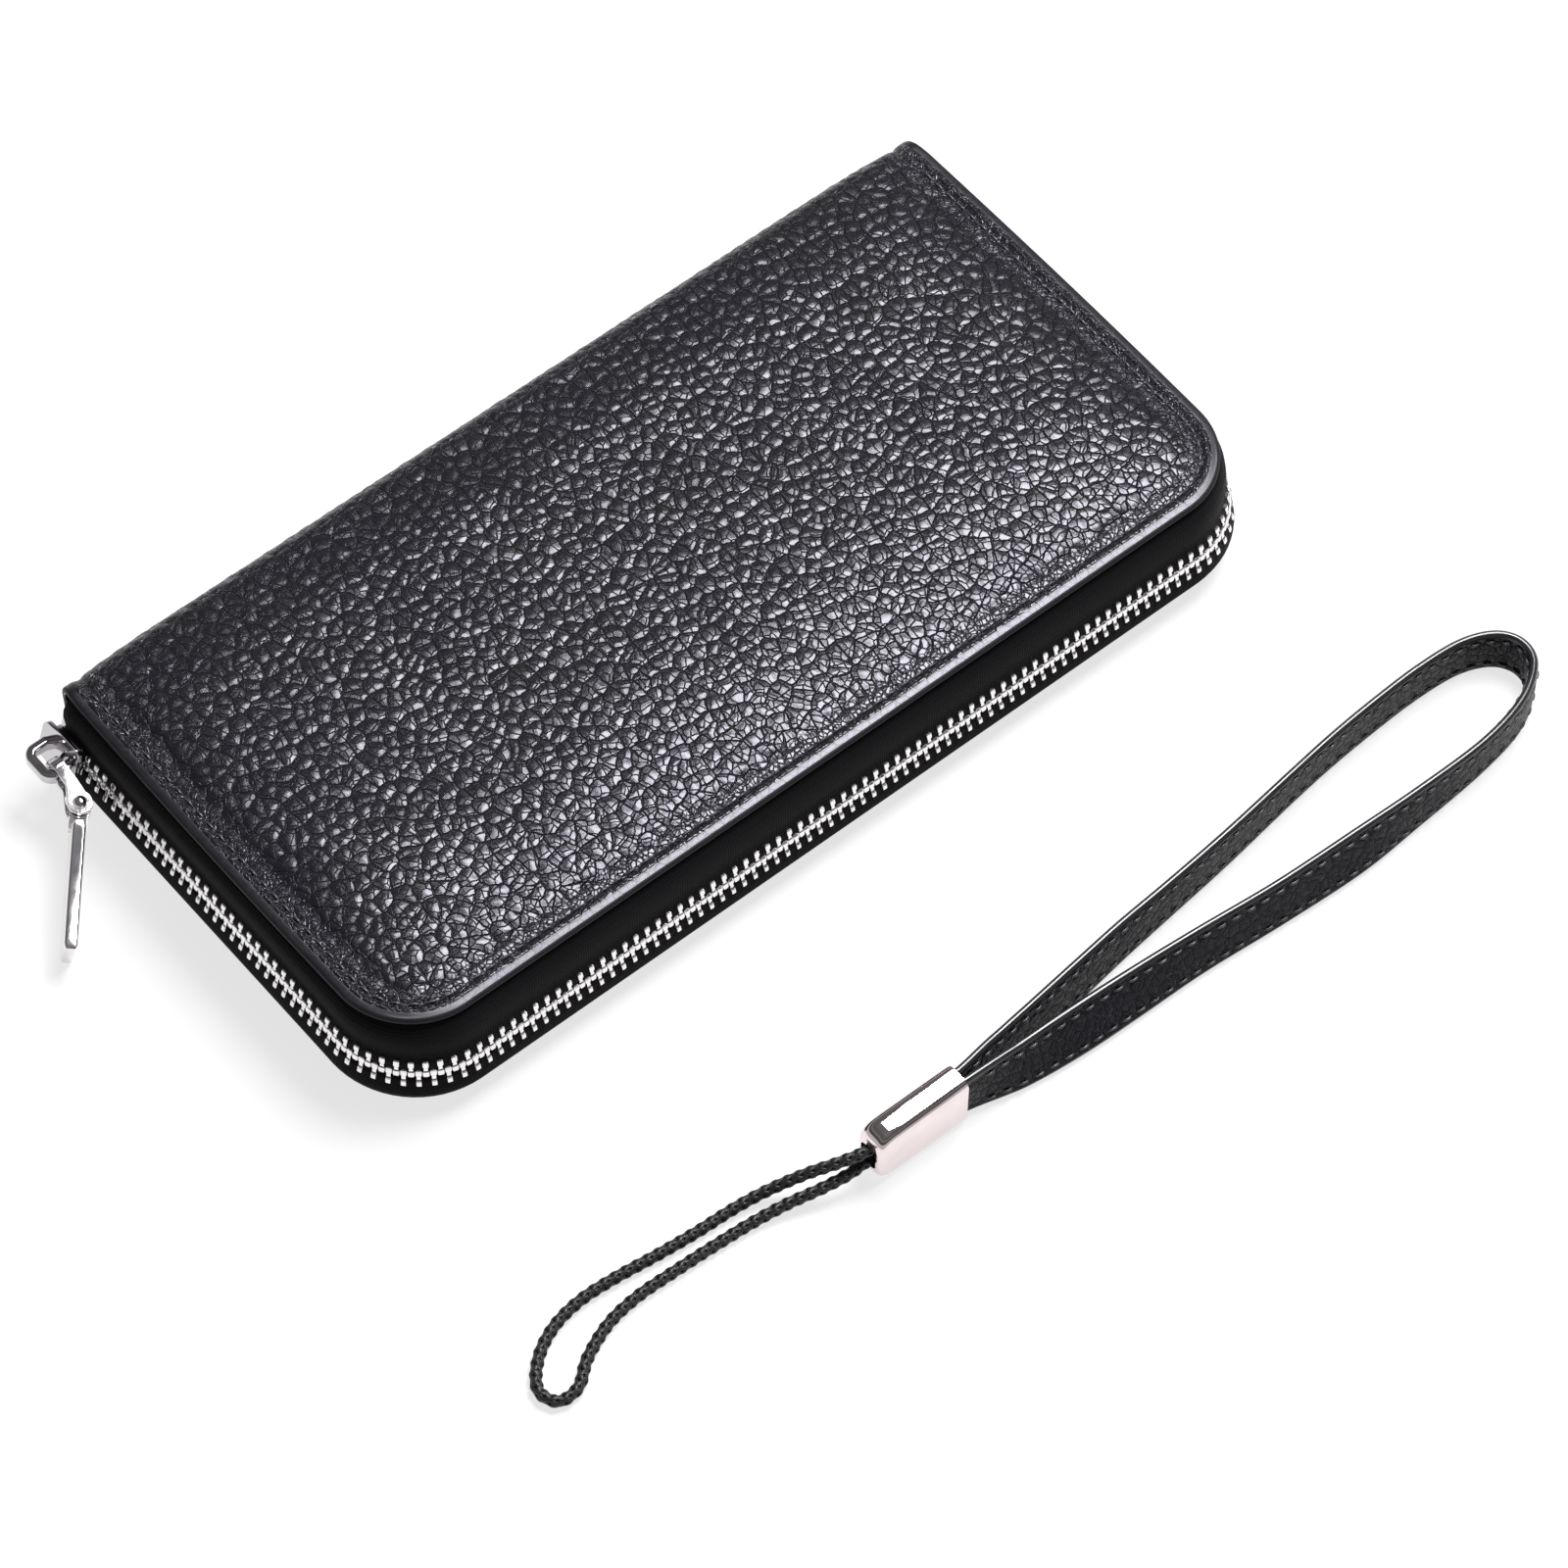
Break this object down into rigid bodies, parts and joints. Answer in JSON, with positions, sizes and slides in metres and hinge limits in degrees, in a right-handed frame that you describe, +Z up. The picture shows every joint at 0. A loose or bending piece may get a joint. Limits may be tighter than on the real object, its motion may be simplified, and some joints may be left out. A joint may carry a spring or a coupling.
{
  "type": "wristlet wallet",
  "caption": "Zip-around long wallet in pebbled leather, lying closed, with a detachable wrist strap, accordion leaves, card pockets and a coin pocket.",
  "frame": {"origin": "middle of the bottom cover's underside, on the surface it lies on", "axes": "+X along the long side, away from the zip slider; +Y from the zip's front run to the spine; +Z up through the closed wallet"},
  "size_m": [0.2349, 0.1602, 0.0244],
  "materials": {
    "cover_leather": "pebbled, satin",
    "pocket_leather": "fine grain, satin",
    "strap_leather": "fine grain with glossy painted edges",
    "lining_cloth": "woven lining",
    "zip_tape": "matte woven tape",
    "board": "stiffener board",
    "zip_metal": "polished",
    "chrome": "polished",
    "ferrule_metal": "polished",
    "cord": "braided, waxed"
  },
  "bodies": {
    "case": {"bottom_leather": "cover_leather", "spine_leather": "cover_leather", "bottom_board": "board", "bottom_lining": "lining_cloth", "spine_lining": "lining_cloth", "bottom_card_pocket_1": "pocket_leather", "bottom_card_pocket_2": "pocket_leather", "bottom_card_pocket_3": "pocket_leather", "bottom_card_pocket_4": "pocket_leather", "lower_zip_tape": "zip_tape", "lower_zip_teeth": "zip_metal", "upper_end_stop": "zip_metal", "lower_end_stop": "zip_metal", "bottom_stop": "zip_metal", "left_gusset": "lining_cloth", "right_gusset": "lining_cloth"},
    "top_cover": {"top_leather": "cover_leather", "top_board": "board", "top_lining": "lining_cloth", "top_card_pocket_1": "pocket_leather", "top_card_pocket_2": "pocket_leather", "top_card_pocket_3": "pocket_leather", "top_card_pocket_4": "pocket_leather", "upper_zip_tape": "zip_tape", "upper_zip_teeth": "zip_metal"},
    "lower_leaf": {"lower_divider": "lining_cloth"},
    "pocket_leaf": {"coin_pocket_lower_wall": "lining_cloth", "coin_pocket_upper_wall": "lining_cloth", "coin_zip_tape": "zip_tape", "coin_zip_teeth": "zip_metal"},
    "upper_leaf": {"upper_divider": "lining_cloth"},
    "slider": {"slider_body": "chrome"},
    "link": {"pull_link": "chrome", "pull_rivet": "chrome"},
    "bar": {"pull_bar": "chrome"},
    "coin_zip_slider": {"coin_slider": "chrome"},
    "coin_zip_pull": {"coin_pull": "chrome"},
    "wrist_strap": {"strap_loop": "strap_leather", "ferrule": "ferrule_metal", "cord_loop": "cord"}
  },
  "joints": [
    {"name": "cover_hinge", "type": "hinge", "parent": "case", "child": "top_cover", "pos_m": [0, 0.044, 0.0122], "axis": [-1, 0, 0], "range_deg": [0, 60], "deforming": ["spine_leather", "spine_lining", "lower_zip_tape", "upper_zip_tape", "lower_zip_teeth", "upper_zip_teeth", "left_gusset", "right_gusset"]},
    {"name": "lower_leaf_hinge", "type": "hinge", "parent": "case", "child": "lower_leaf", "pos_m": [0, 0.044, 0.0122], "axis": [-1, 0, 0], "range_deg": [0, 15]},
    {"name": "pocket_leaf_hinge", "type": "hinge", "parent": "case", "child": "pocket_leaf", "pos_m": [0, 0.044, 0.0122], "axis": [-1, 0, 0], "range_deg": [0, 30]},
    {"name": "upper_leaf_hinge", "type": "hinge", "parent": "case", "child": "upper_leaf", "pos_m": [0, 0.044, 0.0122], "axis": [-1, 0, 0], "range_deg": [0, 45]},
    {"name": "slider_slide", "type": "slide", "parent": "case", "child": "slider", "axis": [0, -1, 0], "range_m": [0, 0.06]},
    {"name": "link_lift", "type": "hinge", "parent": "slider", "child": "link", "pos_m": [-0.1013, 0.04, 0.012], "axis": [-1, 0, 0], "range_deg": [0, 100]},
    {"name": "bar_swing", "type": "hinge", "parent": "link", "child": "bar", "pos_m": [-0.1023, 0.03348, 0.01007], "axis": [0, -0.284, 0.9588], "range_deg": [-40, 35]},
    {"name": "coin_slide", "type": "slide", "parent": "pocket_leaf", "child": "coin_zip_slider", "axis": [1, 0, 0], "range_m": [0, 0.15]},
    {"name": "coin_pull_swing", "type": "hinge", "parent": "coin_zip_slider", "child": "coin_zip_pull", "pos_m": [-0.076, -0.0404, 0.01215], "axis": [0, 0, -1], "range_deg": [0, 20]},
    {"name": "strap_lift", "type": "slide", "parent": "case", "child": "wrist_strap", "axis": [0, 0, 1], "range_m": [0, 0.06]}
  ],
  "couplings": [
    {"joint": "lower_leaf_hinge", "follows": "cover_hinge", "ratio": 0.25},
    {"joint": "pocket_leaf_hinge", "follows": "cover_hinge", "ratio": 0.5},
    {"joint": "upper_leaf_hinge", "follows": "cover_hinge", "ratio": 0.75}
  ]
}
